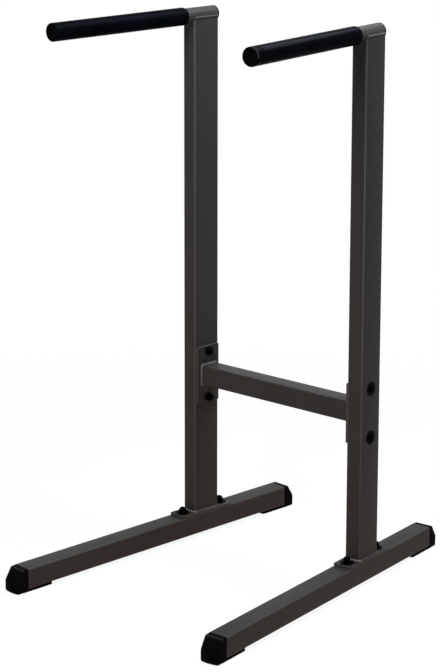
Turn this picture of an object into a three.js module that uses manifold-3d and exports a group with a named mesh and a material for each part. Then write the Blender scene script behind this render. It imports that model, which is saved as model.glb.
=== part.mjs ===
// A free-standing dip station: two welded T-frames, splayed towards the front and joined by one bolted
// crossbar. Millimetres, +Z up. The handles point along -Y. The origin is on the floor, in the middle of
// the footprint.
import * as THREE from "three";
import { mergeVertices } from "three/addons/utils/BufferGeometryUtils.js";
import Module from "manifold-3d";

const wasm = await Module();
wasm.setup();

// Stance: what sets the height, the width between the handles and the footprint
const uprightSpacing = 511;
const splayAngle = THREE.MathUtils.degToRad(5.1);
const handleAxisHeight = 1322.5;
const crossbarAxisHeight = 421.5;
const footFrontReach = 587;
const footRearReach = 278;
const gripFrontReach = 472;
const gripRearReach = 58;

// Steel sections
const uprightWidth = 40;
const uprightDepth = 80;
const uprightWall = 2.5;
const uprightCorner = 3.5;
const footWidth = 50;
const footHeight = 50;
const footWall = 3;
const footCorner = 3.5;
const crossbarDepth = 50;
const crossbarHeight = 50;
const crossbarWall = 2.5;
const crossbarCorner = 3.5;
const handleRadius = 19;
const handleWall = 2.5;

// Fits: the gap between seated pieces, and how far a cut runs past what it cuts
const seatGap = 0.3;
const overrun = 5;

// Plates
const basePlateLength = 168;
const basePlateThickness = 6;
const basePlateCorner = 3;
const baseBoltReach = 64.5;
const flangeDepth = 72;
const flangeHeight = 147;
const flangeThickness = 6;
const flangeCorner = 4;
const flangeBoltRise = 60;

// Welds
const baseWeldLeg = 3.5;
const crossbarWeldLeg = 5;
const saddleBeadRadius = 3;
const saddleWallDrop = 4;
const weldRings = 3;

// Foot end caps
const soleThickness = 7.5;
const soleInset = 2;
const soleTongueLength = 76.5;
const soleTongueCorner = 6;
const capLength = 32;
const capBow = 4;
const capBowRound = 14;
const capCornerRound = 6;
const capRoofLength = 14.5;
const capRoofRound = 7;
const capNoseHeight = 28.5;
const capNoseRound = 6;
const capToeRound = 4;
const capPlugLength = 25;
const capPlugWall = 3;
const capPocketDepth = 8;
const treadPitch = 12;
const treadGrooveWidth = 3;
const treadGrooveDepth = 1.2;

// Grips and tube plugs
const gripWall = 3;
const gripNoseRadius = 2;
const gripTailTaper = 7;
const gripTailWall = 0.8;
const gripRingCount = 3;
const gripRingPitch = 5;
const gripRingWidth = 2;
const gripRingDepth = 0.5;
const gripRingSetback = 12;
const plugRecess = 1.5;
const plugFlange = 4;
const plugFlangeInset = 0.2;
const plugEdge = 1;
const plugDishRadius = 12;
const plugDishDepth = 1.2;
const plugStemLength = 22;
const plugStemWall = 2.2;
const plugFinCount = 2;
const plugFinDepth = 1.2;

// Fasteners
const boltRadius = 5;
const boltHoleRadius = 5.5;
const boltTipChamfer = 1;
const boltTipShow = 3;
const hexAcrossFlats = 17;
const hexNutHeight = 8;
const hexChamfer = 1.2;
const capNutHexHeight = 8;
const capNutHeight = 14.5;
const capNutBoreDepth = 11;
const capNutDomeShare = 0.46;
const wideWasherRadius = 16.5;
const wideWasherThickness = 2;
const washerRadius = 10.5;
const washerThickness = 2;
const coachHeadRadius = 12;
const coachHeadHeight = 4.4;
const coachNeckSide = 10;
const coachNeckClearance = 0.4;
const buttonHeadRadius = 9;
const buttonHeadHeight = 5.5;
const buttonSocketWidth = 6;
const buttonSocketDepth = 3;

// Facets
const handleSegments = 20;
const roundSegments = 16;
const hexSegments = 18;
const cornerSegments = 3;
const beadSides = 6;
const beadSteps = 15;
const arcShares = [0, 1 / 3, 2 / 3, 1];

// Sizes that follow from the ones above
const quarterTurn = Math.PI / 2;
const footTop = soleThickness + footHeight;
const plateTop = footTop + basePlateThickness;
const footAxisHeight = soleThickness + footHeight / 2;
const footTubeLength = footFrontReach + footRearReach;
const wallTop = handleAxisHeight - saddleWallDrop;
const saddleRadius = handleRadius + seatGap;
const gripBore = handleRadius + seatGap;
const gripRadius = handleRadius + gripWall;
const plugFlangeRadius = handleRadius - plugFlangeInset;
const handleFrontReach = gripFrontReach - plugRecess - plugFlange - seatGap;
const handleRearReach = uprightDepth / 2;
const hexCornerRadius = hexAcrossFlats / Math.sqrt(3);

const paint = new THREE.MeshStandardMaterial({ color: 0x403c39, roughness: 0.45, metalness: 0.6 });
const gripVinyl = new THREE.MeshStandardMaterial({ color: 0x17181d, roughness: 0.5, metalness: 0 });
const capRubber = new THREE.MeshStandardMaterial({ color: 0x101112, roughness: 0.7, metalness: 0 });
const plugPlastic = new THREE.MeshStandardMaterial({ color: 0x131313, roughness: 0.55, metalness: 0 });
const blackSteel = new THREE.MeshStandardMaterial({ color: 0x0d0d0e, roughness: 0.4, metalness: 0.8 });

// A geometry as a manifold solid, and back
function solidFrom(geometry) {
  const bare = geometry.clone();
  bare.deleteAttribute("normal");
  bare.deleteAttribute("uv");
  const merged = mergeVertices(bare);
  const mesh = new wasm.Mesh({
    numProp: 3,
    vertProperties: merged.attributes.position.array,
    triVerts: new Uint32Array(merged.index.array),
  });
  return new wasm.Manifold(mesh);
}

function geometryFrom(solid) {
  const mesh = solid.getMesh();
  const geometry = new THREE.BufferGeometry();
  geometry.setAttribute("position", new THREE.BufferAttribute(mesh.vertProperties, 3));
  geometry.setIndex(new THREE.BufferAttribute(mesh.triVerts, 1));
  geometry.computeVertexNormals();
  return geometry;
}

// The first geometry with the added ones joined on and then the removed ones cut away
function shaped(first, added, removed) {
  let solid = solidFrom(first);
  for (const geometry of added) {
    solid = solid.add(solidFrom(geometry));
  }
  for (const geometry of removed) {
    solid = solid.subtract(solidFrom(geometry));
  }
  return geometryFrom(solid);
}

// What all the geometries share
function shared(first, ...others) {
  let solid = solidFrom(first);
  for (const geometry of others) {
    solid = solid.intersect(solidFrom(geometry));
  }
  return geometryFrom(solid);
}

function arcPoints(u, v, radius, from, to, segments) {
  return new THREE.EllipseCurve(u, v, radius, radius, from, to).getPoints(segments);
}

// The outline of a rectangle with round corners
function roundedPoints(width, height, radius) {
  const u = width / 2 - radius;
  const v = height / 2 - radius;
  return [
    ...arcPoints(u, -v, radius, -quarterTurn, 0, cornerSegments),
    ...arcPoints(u, v, radius, 0, quarterTurn, cornerSegments),
    ...arcPoints(-u, v, radius, quarterTurn, 2 * quarterTurn, cornerSegments),
    ...arcPoints(-u, -v, radius, 2 * quarterTurn, 3 * quarterTurn, cornerSegments),
  ];
}

function roundedShape(width, height, radius) {
  return new THREE.Shape(roundedPoints(width, height, radius));
}

function circleHole(u, v, radius) {
  return new THREE.Path(arcPoints(u, v, radius, 0, 4 * quarterTurn, roundSegments));
}

// A polygon of [u, v, round] corners, each rounded over that length of its two edges
function filletedShape(corners) {
  const points = corners.flatMap(([u, v, round], i) => {
    const corner = new THREE.Vector2(u, v);
    const [before, after] = [corners.length - 1, 1].map((step) => {
      const [nextU, nextV] = corners[(i + step) % corners.length];
      return new THREE.Vector2(nextU, nextV).sub(corner).setLength(round).add(corner);
    });
    if (round === 0) return [corner];
    return new THREE.QuadraticBezierCurve(before, corner, after).getPoints(cornerSegments);
  });
  return new THREE.Shape(points);
}

// A closed solid through rings of points, counter-clockwise as seen from beyond the last ring
function loft(rings) {
  const count = rings[0].length;
  const positions = rings.flat().flatMap((point) => point.toArray());
  const index = [];
  for (let ring = 0; ring + 1 < rings.length; ring += 1) {
    for (let i = 0; i < count; i += 1) {
      const near = ring * count + i;
      const next = ring * count + ((i + 1) % count);
      index.push(near, next, next + count, near, next + count, near + count);
    }
  }
  const last = (rings.length - 1) * count;
  for (let i = 1; i + 1 < count; i += 1) {
    index.push(0, i + 1, i);
    index.push(last, last + i, last + i + 1);
  }
  const geometry = new THREE.BufferGeometry();
  geometry.setAttribute("position", new THREE.Float32BufferAttribute(positions, 3));
  geometry.setIndex(index);
  geometry.computeVertexNormals();
  return geometry;
}

function extruded(shape, depth) {
  const options = { depth, bevelEnabled: false, curveSegments: cornerSegments };
  return new THREE.ExtrudeGeometry(shape, options);
}

// A round bar that starts at the origin and runs along +Z
function bar(radius, length, segments) {
  const cylinder = new THREE.CylinderGeometry(radius, radius, length, segments);
  return cylinder.rotateX(quarterTurn).translate(0, 0, length / 2);
}

// A turned piece whose profile, of [radius, height] pairs, stands along +Z
function turned(profile, segments) {
  const points = profile.map(([radius, height]) => new THREE.Vector2(radius, height));
  return new THREE.LatheGeometry(points, segments).rotateX(quarterTurn);
}

function closedRing(inner, outer, from, to) {
  return [
    [outer, from],
    [outer, to],
    [inner, to],
    [inner, from],
    [outer, from],
  ];
}

// How far a quarter-round weld bead stands out and rises at each of its rings
function beadRings(leg) {
  const steps = [];
  for (let ring = 0; ring < weldRings; ring += 1) {
    const angle = (quarterTurn * ring) / (weldRings - 1);
    steps.push([leg * Math.cos(angle), leg * Math.sin(angle)]);
  }
  return steps;
}

// Foot tube: along the depth, drilled on top and square-punched below for the coach bolts
function footTubeGeometry() {
  const section = roundedShape(footWidth, footHeight, footCorner);
  const boreCorner = footCorner - footWall;
  section.holes.push(roundedShape(footWidth - 2 * footWall, footHeight - 2 * footWall, boreCorner));
  const tube = extruded(section, footTubeLength).rotateX(quarterTurn).translate(0, footRearReach, 0);
  const square = coachNeckSide + 2 * coachNeckClearance;
  const cut = footWall + overrun;
  const holes = [];
  for (const y of [-baseBoltReach, baseBoltReach]) {
    const punch = new THREE.BoxGeometry(square, square, cut);
    holes.push(punch.translate(0, y, (footWall - footHeight) / 2));
    holes.push(bar(boltHoleRadius, cut, roundSegments).translate(0, y, (footHeight - cut) / 2));
  }
  return shaped(tube, [], holes);
}

function basePlateGeometry() {
  const plate = roundedShape(footWidth, basePlateLength, basePlateCorner);
  for (const y of [-baseBoltReach, baseBoltReach]) plate.holes.push(circleHole(0, y, boltHoleRadius));
  return extruded(plate, basePlateThickness);
}

// The rounded bead where the upright meets its base plate
function baseWeldGeometry() {
  const rings = beadRings(baseWeldLeg).map(([stand, rise]) => {
    const [width, depth] = [uprightWidth + 2 * stand, uprightDepth + 2 * stand];
    const points = roundedPoints(width, depth, uprightCorner + stand);
    return points.map((point) => new THREE.Vector3(point.x, point.y, rise));
  });
  return loft(rings);
}

// One half of the bead that follows the fish-mouth top of the upright. At the rear it stays flush with the
// upright, clear of the handle's plug.
function saddleBeadGeometry(half, axisRise, wallRise) {
  const outline = roundedShape(uprightWidth, uprightDepth, uprightCorner).getSpacedPoints(2 * beadSteps);
  const rearReach = uprightDepth / 2 - saddleBeadRadius;
  const path = [];
  for (let i = -1; i <= beadSteps + 1; i += 1) {
    const point = outline[(i + half * beadSteps + 2 * beadSteps) % (2 * beadSteps)];
    const drop = Math.sqrt(Math.max(0, saddleRadius ** 2 - point.x ** 2));
    const rise = Math.min(axisRise - drop, wallRise);
    path.push(new THREE.Vector3(point.x, Math.min(point.y, rearReach), rise));
  }
  const section = new THREE.Shape(arcPoints(0, 0, saddleBeadRadius, 0, 4 * quarterTurn, beadSides));
  return new THREE.ExtrudeGeometry(section, {
    steps: beadSteps,
    extrudePath: new THREE.CatmullRomCurve3(path),
  });
}

// Upright: coped to take the handle tube, with its beads, and drilled through for the crossbar's bolts
function uprightGeometry() {
  const height = wallTop - plateTop;
  const axisRise = handleAxisHeight - plateTop;
  const outer = extruded(roundedShape(uprightWidth, uprightDepth, uprightCorner), height);
  const boreShape = roundedShape(
    uprightWidth - 2 * uprightWall,
    uprightDepth - 2 * uprightWall,
    uprightCorner - uprightWall,
  );
  const bore = extruded(boreShape, height + 2 * overrun).translate(0, 0, -overrun);
  const saddle = bar(saddleRadius, uprightDepth + 2 * overrun, handleSegments);
  saddle.rotateX(-quarterTurn).translate(0, -uprightDepth / 2 - overrun, axisRise);
  const beads = [0, 1].map((half) => saddleBeadGeometry(half, axisRise, height));
  const holes = [-flangeBoltRise, flangeBoltRise].map((rise) => {
    const drill = bar(boltHoleRadius, uprightWidth + 2 * overrun, roundSegments).rotateY(quarterTurn);
    return drill.translate(-uprightWidth / 2 - overrun, 0, crossbarAxisHeight + rise - plateTop);
  });
  return shaped(outer, [baseWeldGeometry(), ...beads], [bore, saddle, ...holes]);
}

// Handle: a round tube on the saddle, turned about the depth axis
function handleTubeGeometry() {
  const inner = handleRadius - handleWall;
  const profile = closedRing(inner, handleRadius, -handleFrontReach, handleRearReach);
  return turned(profile, handleSegments).rotateX(-quarterTurn);
}

// Grip: a sleeve with a round nose, fine rings behind it and a tapered tail
function gripGeometry() {
  const nose = -gripFrontReach;
  const tail = -gripRearReach;
  const tailStep = gripWall - gripTailWall;
  const profile = [[gripBore, nose]];
  for (const share of arcShares) {
    const angle = share * quarterTurn;
    const radius = gripRadius - gripNoseRadius * (1 - Math.sin(angle));
    profile.push([radius, nose + gripNoseRadius * (1 - Math.cos(angle))]);
  }
  for (let ring = 0; ring < gripRingCount; ring += 1) {
    const middle = nose + gripRingSetback + ring * gripRingPitch;
    profile.push([gripRadius, middle - gripRingWidth / 2]);
    profile.push([gripRadius - gripRingDepth, middle]);
    profile.push([gripRadius, middle + gripRingWidth / 2]);
  }
  for (const share of arcShares) {
    const angle = share * quarterTurn;
    const radius = gripRadius - tailStep * (1 - Math.cos(angle));
    profile.push([radius, tail - gripTailTaper * (1 - Math.sin(angle))]);
  }
  profile.push([gripBore, tail]);
  profile.push([gripBore, nose]);
  return turned(profile, handleSegments).rotateX(-quarterTurn);
}

// Tube plug, facing -Y: a dished flange against the tube's end and a finned hollow stem inside the tube
function plugGeometry() {
  const finRadius = handleRadius - handleWall - seatGap;
  const coreRadius = finRadius - plugFinDepth;
  const finPitch = plugStemLength / (2 * plugFinCount + 1);
  const profile = [
    [0, plugDishDepth - plugFlange],
    [plugDishRadius, -plugFlange],
    [plugFlangeRadius - plugEdge, -plugFlange],
    [plugFlangeRadius, plugEdge - plugFlange],
    [plugFlangeRadius, 0],
    [coreRadius, 0],
  ];
  for (let fin = 0; fin < plugFinCount; fin += 1) {
    profile.push([finRadius, (2 * fin + 1) * finPitch]);
    profile.push([coreRadius, (2 * fin + 2) * finPitch]);
  }
  profile.push([coreRadius, plugStemLength]);
  profile.push([coreRadius - plugStemWall, plugStemLength]);
  profile.push([coreRadius - plugStemWall, 0]);
  profile.push([0, 0]);
  return turned(profile, handleSegments).rotateX(-quarterTurn);
}

// The head of a foot end cap is what three outlines share: from the side, from above and from the front
function capHeadGeometry() {
  const reach = capLength + capBow;
  const halfWidth = footWidth / 2;
  const sideOutline = filletedShape([
    [0, 0, 0],
    [reach, 0, capToeRound],
    [reach, capNoseHeight, capNoseRound],
    [capRoofLength, footTop, capRoofRound],
    [0, footTop, 0],
  ]);
  const planOutline = filletedShape([
    [halfWidth, 0, 0],
    [-halfWidth, 0, 0],
    [-halfWidth, -capLength, capCornerRound],
    [0, -reach, capBowRound],
    [halfWidth, -capLength, capCornerRound],
  ]);
  const frontOutline = roundedShape(footWidth, footTop, footCorner);
  const seenFromSide = extruded(sideOutline, footWidth).rotateX(quarterTurn).rotateZ(-quarterTurn);
  const seenFromAbove = extruded(planOutline, footTop);
  const seenFromFront = extruded(frontOutline, reach).rotateX(quarterTurn);
  return shared(
    seenFromSide.translate(halfWidth, 0, 0),
    seenFromAbove,
    seenFromFront.translate(0, 0, footTop / 2),
  );
}

// Foot end cap, facing -Y with its seam at y = 0: the head, a sole that runs back under the tube with a
// grooved tread, and a hollow plug inside the tube
function footCapGeometry() {
  const tongueLength = soleTongueLength + capRoofLength;
  const tongueShape = roundedShape(footWidth - 2 * soleInset, tongueLength, soleTongueCorner);
  const tongue = extruded(tongueShape, soleThickness);
  tongue.translate(0, soleTongueLength - tongueLength / 2, 0);

  const plugWidth = footWidth - 2 * footWall - 2 * seatGap;
  const plugHeight = footHeight - 2 * footWall - 2 * seatGap;
  const plugLength = capPlugLength + capPocketDepth;
  const plug = extruded(roundedShape(plugWidth, plugHeight, footCorner - footWall), plugLength);
  plug.rotateX(quarterTurn).translate(0, capPlugLength, footAxisHeight);

  const pocketLength = plugLength + overrun;
  const pocket = new THREE.BoxGeometry(
    plugWidth - 2 * capPlugWall,
    pocketLength,
    plugHeight - 2 * capPlugWall,
  );
  pocket.translate(0, pocketLength / 2 - capPocketDepth, footAxisHeight);

  const grooves = [];
  for (let y = soleTongueLength - treadPitch; y > 0; y -= treadPitch) {
    const cutter = new THREE.BoxGeometry(footWidth + 2 * overrun, treadGrooveWidth, 2 * treadGrooveDepth);
    grooves.push(cutter.translate(0, y, 0));
  }
  return shaped(capHeadGeometry(), [tongue, plug], [pocket, ...grooves]);
}

// Crossbar: its ends are mitred to the splayed flanges, with a bead all round each end. mitreReach says how
// far from the middle the mitre lies at a depth y, standOff short of the upright's centre.
function mitreReach(y, standOff) {
  return uprightSpacing / 2 - (standOff + y * Math.sin(splayAngle)) / Math.cos(splayAngle);
}

function crossbarRing(stand, side, standOff) {
  const [depth, height] = [crossbarDepth + 2 * stand, crossbarHeight + 2 * stand];
  return roundedPoints(depth, height, crossbarCorner + stand).map((point) => {
    return new THREE.Vector3(side * mitreReach(point.x, standOff), point.x, point.y);
  });
}

function crossbarGeometry() {
  const standOff = uprightWidth / 2 + flangeThickness + 2 * seatGap;
  const body = loft([crossbarRing(0, -1, standOff), crossbarRing(0, 1, standOff)]);
  const beads = [-1, 1].map((side) => {
    const rings = beadRings(crossbarWeldLeg).map(([stand, rise]) => {
      return crossbarRing(stand, side, standOff + rise);
    });
    return loft(side > 0 ? rings.reverse() : rings);
  });
  const bore = loft([
    crossbarRing(-crossbarWall, -1, standOff - overrun),
    crossbarRing(-crossbarWall, 1, standOff - overrun),
  ]);
  return shaped(body, beads, [bore]);
}

function flangeGeometry() {
  const plate = roundedShape(flangeDepth, flangeHeight, flangeCorner);
  for (const rise of [-flangeBoltRise, flangeBoltRise]) {
    plate.holes.push(circleHole(0, rise, boltHoleRadius));
  }
  return extruded(plate, flangeThickness).rotateX(quarterTurn).rotateZ(quarterTurn);
}

// Fasteners, each standing along +Z with its seat at z = 0 and any head below it
function washerGeometry(radius, thickness) {
  return turned(closedRing(boltHoleRadius, radius, 0, thickness), roundSegments);
}

function shankProfile(length) {
  return [
    [boltRadius, length - boltTipChamfer],
    [boltRadius - boltTipChamfer, length],
    [0, length],
  ];
}

function hexPrism(acrossFlats, from, to) {
  const corner = acrossFlats / Math.sqrt(3);
  const prism = new THREE.CylinderGeometry(corner, corner, to - from, 6);
  return prism.rotateX(quarterTurn).translate(0, 0, (from + to) / 2);
}

// A hexagon turned off at its corners: the hexagon and this profile's round keep what both hold
function chamferedHex(from, to) {
  const flat = hexCornerRadius - hexChamfer;
  const fall = hexChamfer * Math.tan(Math.PI / 6);
  const profile = [
    [0, from],
    [flat, from],
    [hexCornerRadius, from + fall],
    [hexCornerRadius, to - fall],
    [flat, to],
    [0, to],
  ];
  return shared(hexPrism(hexAcrossFlats, from, to), turned(profile, hexSegments));
}

function hexNutGeometry() {
  const bore = bar(boltRadius + seatGap, hexNutHeight + 2 * overrun, roundSegments);
  return shaped(chamferedHex(0, hexNutHeight), [], [bore.translate(0, 0, -overrun)]);
}

function domedBolt(headRadius, headHeight, length) {
  const dome = arcShares.map((share) => {
    const angle = share * quarterTurn;
    return [headRadius * Math.sin(angle), -headHeight * Math.cos(angle)];
  });
  return turned([...dome, [boltRadius, 0], ...shankProfile(length)], roundSegments);
}

// Coach bolt: a low domed head under the foot tube, a square neck in its wall and a plain shank
function coachBoltGeometry(length) {
  const neck = new THREE.BoxGeometry(coachNeckSide, coachNeckSide, footWall);
  const bolt = domedBolt(coachHeadRadius, coachHeadHeight, length);
  return shaped(bolt, [neck.translate(0, 0, footWall / 2)], []);
}

// Button-head bolt: a low dome with a hexagon socket, and a plain shank
function buttonBoltGeometry(length) {
  const mouth = -buttonHeadHeight - overrun;
  const socket = hexPrism(buttonSocketWidth, mouth, buttonSocketDepth - buttonHeadHeight);
  return shaped(domedBolt(buttonHeadRadius, buttonHeadHeight, length), [], [socket]);
}

function capNutGeometry() {
  const domeRadius = hexAcrossFlats * capNutDomeShare;
  const domeRise = capNutHeight - capNutHexHeight;
  const profile = [[0, 0], [domeRadius, 0]];
  for (const share of arcShares) {
    const angle = share * quarterTurn;
    profile.push([domeRadius * Math.cos(angle), capNutHexHeight + domeRise * Math.sin(angle)]);
  }
  const bore = bar(boltRadius + seatGap, capNutBoreDepth + overrun, roundSegments);
  bore.translate(0, 0, -overrun);
  return shaped(chamferedHex(0, capNutHexHeight), [turned(profile, roundSegments)], [bore]);
}

function addPiece(group, name, geometry, material, x, y, z) {
  const mesh = new THREE.Mesh(geometry, material);
  mesh.name = name;
  mesh.position.set(x, y, z);
  group.add(mesh);
  return mesh;
}

// The two bolts that hold an upright's base plate to its foot, from below
function addBaseFasteners(group, side) {
  const nutSeat = plateTop + wideWasherThickness;
  const boltLength = nutSeat + capNutBoreDepth - boltTipChamfer - soleThickness;
  for (const [place, y] of [["front", -baseBoltReach], ["rear", baseBoltReach]]) {
    const bolt = coachBoltGeometry(boltLength);
    const washer = washerGeometry(wideWasherRadius, wideWasherThickness);
    addPiece(group, `${side}_base_bolt_${place}`, bolt, blackSteel, 0, y, soleThickness);
    addPiece(group, `${side}_base_washer_${place}`, washer, blackSteel, 0, y, plateTop);
    addPiece(group, `${side}_base_cap_nut_${place}`, capNutGeometry(), blackSteel, 0, y, nutSeat);
  }
}

// The two bolts through an upright and a flange: heads outside, nuts inside, from +X to -X
function addFlangeFasteners(group, side) {
  const outerWasher = uprightWidth / 2 + seatGap + wideWasherThickness;
  const headSeat = outerWasher + seatGap;
  const innerWasher = -uprightWidth / 2 - flangeThickness - 2 * seatGap;
  const nutSeat = innerWasher - washerThickness - seatGap;
  const boltLength = headSeat - nutSeat + hexNutHeight + boltTipShow;
  for (const [place, rise] of [["upper", flangeBoltRise], ["lower", -flangeBoltRise]]) {
    const z = crossbarAxisHeight + rise;
    const bolt = buttonBoltGeometry(boltLength);
    const wideWasher = washerGeometry(wideWasherRadius, wideWasherThickness);
    const washer = washerGeometry(washerRadius, washerThickness);
    const pieces = [
      addPiece(group, `${side}_flange_bolt_${place}`, bolt, blackSteel, headSeat, 0, z),
      addPiece(group, `${side}_outer_washer_${place}`, wideWasher, blackSteel, outerWasher, 0, z),
      addPiece(group, `${side}_inner_washer_${place}`, washer, blackSteel, innerWasher, 0, z),
      addPiece(group, `${side}_flange_nut_${place}`, hexNutGeometry(), blackSteel, nutSeat, 0, z),
    ];
    for (const piece of pieces) piece.rotation.y = -quarterTurn;
  }
}

// One side frame about its upright's centre line, with +X pointing away from the other side
function sideFrame(side) {
  const group = new THREE.Group();
  addPiece(group, `${side}_foot_tube`, footTubeGeometry(), paint, 0, 0, footAxisHeight);
  addPiece(group, `${side}_base_plate`, basePlateGeometry(), paint, 0, 0, footTop);
  addPiece(group, `${side}_upright_tube`, uprightGeometry(), paint, 0, 0, plateTop);
  addPiece(group, `${side}_handle_tube`, handleTubeGeometry(), paint, 0, 0, handleAxisHeight);
  addPiece(group, `${side}_grip`, gripGeometry(), gripVinyl, 0, 0, handleAxisHeight);

  const frontPlug = -handleFrontReach - seatGap;
  const rearPlug = handleRearReach + seatGap;
  const plug = plugGeometry();
  const backPlug = plug.clone().rotateZ(Math.PI);
  addPiece(group, `${side}_handle_front_plug`, plug, plugPlastic, 0, frontPlug, handleAxisHeight);
  addPiece(group, `${side}_handle_rear_plug`, backPlug, plugPlastic, 0, rearPlug, handleAxisHeight);

  const frontSeam = -footFrontReach - seatGap;
  const rearSeam = footRearReach + seatGap;
  const cap = footCapGeometry();
  addPiece(group, `${side}_foot_front_cap`, cap, capRubber, 0, frontSeam, 0);
  addPiece(group, `${side}_foot_rear_cap`, cap.clone().rotateZ(Math.PI), capRubber, 0, rearSeam, 0);

  const flangeSeat = -uprightWidth / 2 - seatGap - flangeThickness;
  addPiece(group, `${side}_crossbar_flange`, flangeGeometry(), paint, flangeSeat, 0, crossbarAxisHeight);
  addBaseFasteners(group, side);
  addFlangeFasteners(group, side);
  return group;
}

const stand = new THREE.Group();
for (const [side, sign] of [["left", -1], ["right", 1]]) {
  const frame = sideFrame(side);
  frame.scale.x = sign;
  frame.rotation.z = sign * splayAngle;
  frame.position.x = (sign * uprightSpacing) / 2;
  stand.add(frame);
}
addPiece(stand, "crossbar_tube", crossbarGeometry(), paint, 0, 0, crossbarAxisHeight);

// The stand is moved along its depth so that the origin is the middle of its footprint
stand.updateMatrixWorld(true);
const footprint = new THREE.Box3().setFromObject(stand, true);
stand.position.y = -(footprint.min.y + footprint.max.y) / 2;

const dipStation = new THREE.Group();
dipStation.add(stand);

export default dipStation;
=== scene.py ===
import contextlib
import math
import random

import bmesh
import bpy
from mathutils import Matrix, Vector


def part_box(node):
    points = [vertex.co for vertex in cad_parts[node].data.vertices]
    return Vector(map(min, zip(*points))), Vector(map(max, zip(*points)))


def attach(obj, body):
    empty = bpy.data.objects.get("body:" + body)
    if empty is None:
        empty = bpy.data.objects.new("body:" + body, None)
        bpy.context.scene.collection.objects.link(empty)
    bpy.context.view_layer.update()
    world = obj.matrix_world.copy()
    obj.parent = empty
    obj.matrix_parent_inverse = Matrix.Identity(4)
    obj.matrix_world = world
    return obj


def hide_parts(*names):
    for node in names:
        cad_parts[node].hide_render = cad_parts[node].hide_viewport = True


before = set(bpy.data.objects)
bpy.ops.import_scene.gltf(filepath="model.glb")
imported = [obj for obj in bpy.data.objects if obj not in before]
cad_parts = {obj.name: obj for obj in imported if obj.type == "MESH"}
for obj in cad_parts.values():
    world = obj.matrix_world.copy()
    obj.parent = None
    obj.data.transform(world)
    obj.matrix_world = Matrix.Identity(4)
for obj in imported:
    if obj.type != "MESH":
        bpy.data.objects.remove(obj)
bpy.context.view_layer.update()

CHANCE = random.Random(11)

# Axes as numbers, and the turns that lay a rod along one of them
X, Y, Z = 0, 1, 2
ALONG_X, ALONG_Y = (0, math.pi / 2, 0), (math.pi / 2, 0, 0)

# Sizes and places, in metres. Each side frame is modelled about its upright's centre line, with +X
# outwards, and is then set on the right and, mirrored, on the left.
SIDES = (("right", 1), ("left", -1))
SPACING = 0.511
SPLAY = math.radians(5.1)
UPRIGHT_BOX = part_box("right_upright_tube")
FRAME_Y = (UPRIGHT_BOX[0].y + UPRIGHT_BOX[1].y) / 2
SEAT = 0.0003

# Feet and the plates on them
TUBE_CORNER = 0.0035
FOOT_SIDE = 0.050
FOOT_WALL = 0.003
FOOT_FRONT, FOOT_REAR = -0.587, 0.278
SOLE = 0.0075
FOOT_TOP = SOLE + FOOT_SIDE
PLATE = (0.050, 0.168, 0.006)
PLATE_TOP = FOOT_TOP + PLATE[2]

# Uprights, handles and grips
UPRIGHT = (0.040, 0.080)
UPRIGHT_WALL = 0.0025
WALL_TOP = 1.3185
HANDLE_Z = 1.3225
HANDLE_R = 0.019
HANDLE_WALL = 0.0025
HANDLE_FRONT, HANDLE_REAR = -0.4662, 0.040
PLUG_FLANGE = 0.004
GRIP_R = 0.022
GRIP_FRONT, GRIP_REAR = -0.472, -0.058

# Crossbar and its flanges
BAR_Z = 0.4215
BAR_SIDE = 0.050
BAR_WALL = 0.0025
FLANGE = (0.006, 0.072, 0.147)
FLANGE_X = -(UPRIGHT[0] / 2 + SEAT + FLANGE[0] / 2)
FLANGE_FACE = FLANGE_X - FLANGE[0] / 2 - SEAT

# Fasteners: M10 bolts, with washers of (radius, thickness)
BOLT_HOLE = 0.0055
BOLT_R = 0.0050
NUT_BORE = 0.0053
NUT_HEIGHT = 0.008
WIDE_WASHER = (0.0165, 0.002)
SMALL_WASHER = (0.0105, 0.002)
BASE_BOLTS = (("_front", -0.0645), ("_rear", 0.0645))
FLANGE_BOLTS = (("_upper", 0.060), ("_lower", -0.060))
OUTER_WASHER_X = UPRIGHT[0] / 2 + SEAT + WIDE_WASHER[1]

# The pitch of a weld's ripples, and how light the painted highlight is on the edges of feet and plates
WELD_PITCH = 0.0019
EDGE_HIGHLIGHT = 0.21


# The camera
def set_camera():
    """The photograph's view, fitted to the stand's own edges. Focal length and shifts are in its pixels."""
    picture_height = 672
    azimuth, elevation, roll = (math.radians(a) for a in (42.424, 11.976, -0.2285))
    focal, shift_x, shift_y = 2270.8, 61.0, -133.0
    distance, aim = 5.13917, Vector((-0.01962, -0.412 + FRAME_Y, 0.95256))
    back = Vector((
        math.sin(azimuth) * math.cos(elevation),
        -math.cos(azimuth) * math.cos(elevation),
        math.sin(elevation),
    ))
    level = Vector((math.cos(azimuth), math.sin(azimuth), 0))
    rise = back.cross(level)
    right = math.cos(roll) * level + math.sin(roll) * rise
    up = math.cos(roll) * rise - math.sin(roll) * level
    data = bpy.data.cameras.new("photo_view")
    data.sensor_width = 36.0
    data.lens = focal / picture_height * data.sensor_width
    data.shift_x = shift_x / picture_height
    data.shift_y = shift_y / picture_height
    data.clip_end = 60.0
    camera = bpy.data.objects.new("photo_view", data)
    bpy.context.scene.collection.objects.link(camera)
    turn = Matrix((right, up, back)).transposed().to_4x4()
    camera.matrix_world = Matrix.Translation(aim + back * distance) @ turn
    bpy.context.scene.camera = camera


# Modelling by hand: selecting, edit mode and the few shapes that everything starts from
def pick(piece):
    bpy.ops.object.select_all(action="DESELECT")
    piece.select_set(True)
    bpy.context.view_layer.objects.active = piece


@contextlib.contextmanager
def editing(piece):
    pick(piece)
    bpy.ops.object.mode_set(mode="EDIT")
    yield
    bpy.ops.object.mode_set(mode="OBJECT")


def select_all():
    bpy.ops.mesh.select_all(action="SELECT")


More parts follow.
